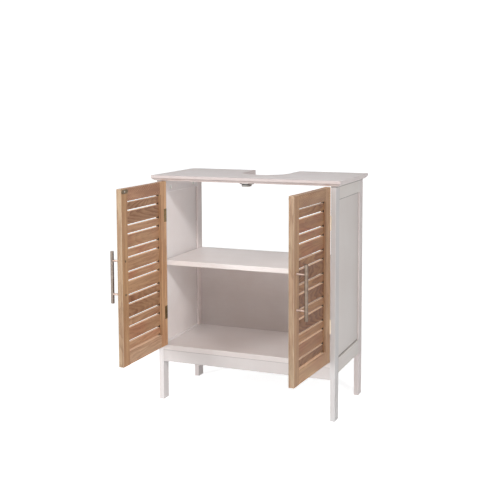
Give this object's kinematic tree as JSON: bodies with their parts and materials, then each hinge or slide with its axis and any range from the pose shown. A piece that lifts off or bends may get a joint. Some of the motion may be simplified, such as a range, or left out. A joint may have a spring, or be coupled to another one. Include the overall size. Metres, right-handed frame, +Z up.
{
  "type": "sink base cabinet",
  "caption": "Free-standing two-door cabinet that goes under a wash basin: white frame on post legs, top with a U-shaped pipe cut-out, open upper back, slatted wood doors.",
  "frame": {"origin": "on the floor, under the middle of the cabinet's bounding box with both doors open", "axes": "+Z up, -Y towards the front (the doors' side), +X to the viewer's right facing the front"},
  "size_m": [0.6027, 0.5571, 0.7],
  "materials": {
    "white_paint": "satin white lacquer",
    "door_wood": "satin stained wood",
    "dowel_wood": "raw beech",
    "handle_steel": "brushed",
    "hinge_brass": "dark satin",
    "strike_bronze": "dark satin",
    "fastener_steel": "satin",
    "catch_plastic": "matt",
    "magnet": "matt"
  },
  "bodies": {
    "carcass": {"apron_dowels": "dowel_wood", "back_panel": "white_paint", "bottom_board": "white_paint", "bottom_board_dowels": "dowel_wood", "catch_housing": "catch_plastic", "catch_magnet": "magnet", "catch_pole_plates": "fastener_steel", "catch_screws": "fastener_steel", "front_apron": "white_paint", "left_bottom_rail": "white_paint", "left_front_post": "white_paint", "left_hinge_pins": "hinge_brass", "left_post_hinge_leaves": "hinge_brass", "left_post_leaf_screws": "hinge_brass", "left_rear_post": "white_paint", "left_side_panel": "white_paint", "left_top_rail": "white_paint", "rail_dowels": "dowel_wood", "right_bottom_rail": "white_paint", "right_front_post": "white_paint", "right_hinge_pins": "hinge_brass", "right_post_hinge_leaves": "hinge_brass", "right_post_leaf_screws": "hinge_brass", "right_rear_post": "white_paint", "right_side_panel": "white_paint", "right_top_rail": "white_paint", "shelf": "white_paint", "shelf_dowels": "dowel_wood", "top_cam_bolts": "fastener_steel", "top_cam_locks": "fastener_steel", "top_panel": "white_paint"},
    "left_door": {"left_door_bottom_rail": "door_wood", "left_door_free_stile": "door_wood", "left_door_handle_bar": "handle_steel", "left_door_handle_screws": "fastener_steel", "left_door_handle_standoffs": "handle_steel", "left_door_hinge_leaves": "hinge_brass", "left_door_hinge_stile": "door_wood", "left_door_leaf_screws": "hinge_brass", "left_door_narrow_slats": "door_wood", "left_door_strike_plate": "strike_bronze", "left_door_strike_screw": "hinge_brass", "left_door_top_rail": "door_wood", "left_door_wide_slats": "door_wood"},
    "right_door": {"right_door_bottom_rail": "door_wood", "right_door_free_stile": "door_wood", "right_door_handle_bar": "handle_steel", "right_door_handle_screws": "fastener_steel", "right_door_handle_standoffs": "handle_steel", "right_door_hinge_leaves": "hinge_brass", "right_door_hinge_stile": "door_wood", "right_door_leaf_screws": "hinge_brass", "right_door_narrow_slats": "door_wood", "right_door_strike_plate": "strike_bronze", "right_door_strike_screw": "hinge_brass", "right_door_top_rail": "door_wood", "right_door_wide_slats": "door_wood"}
  },
  "joints": [
    {"name": "left_door_hinge", "type": "hinge", "parent": "carcass", "child": "left_door", "pos_m": [-0.2685, -0.0114, 0.429], "axis": [0, 0, 1], "range_deg": [-79.5, 90.5]},
    {"name": "right_door_hinge", "type": "hinge", "parent": "carcass", "child": "right_door", "pos_m": [0.2685, -0.0114, 0.429], "axis": [0, 0, -1], "range_deg": [-83.5, 86.5]}
  ]
}
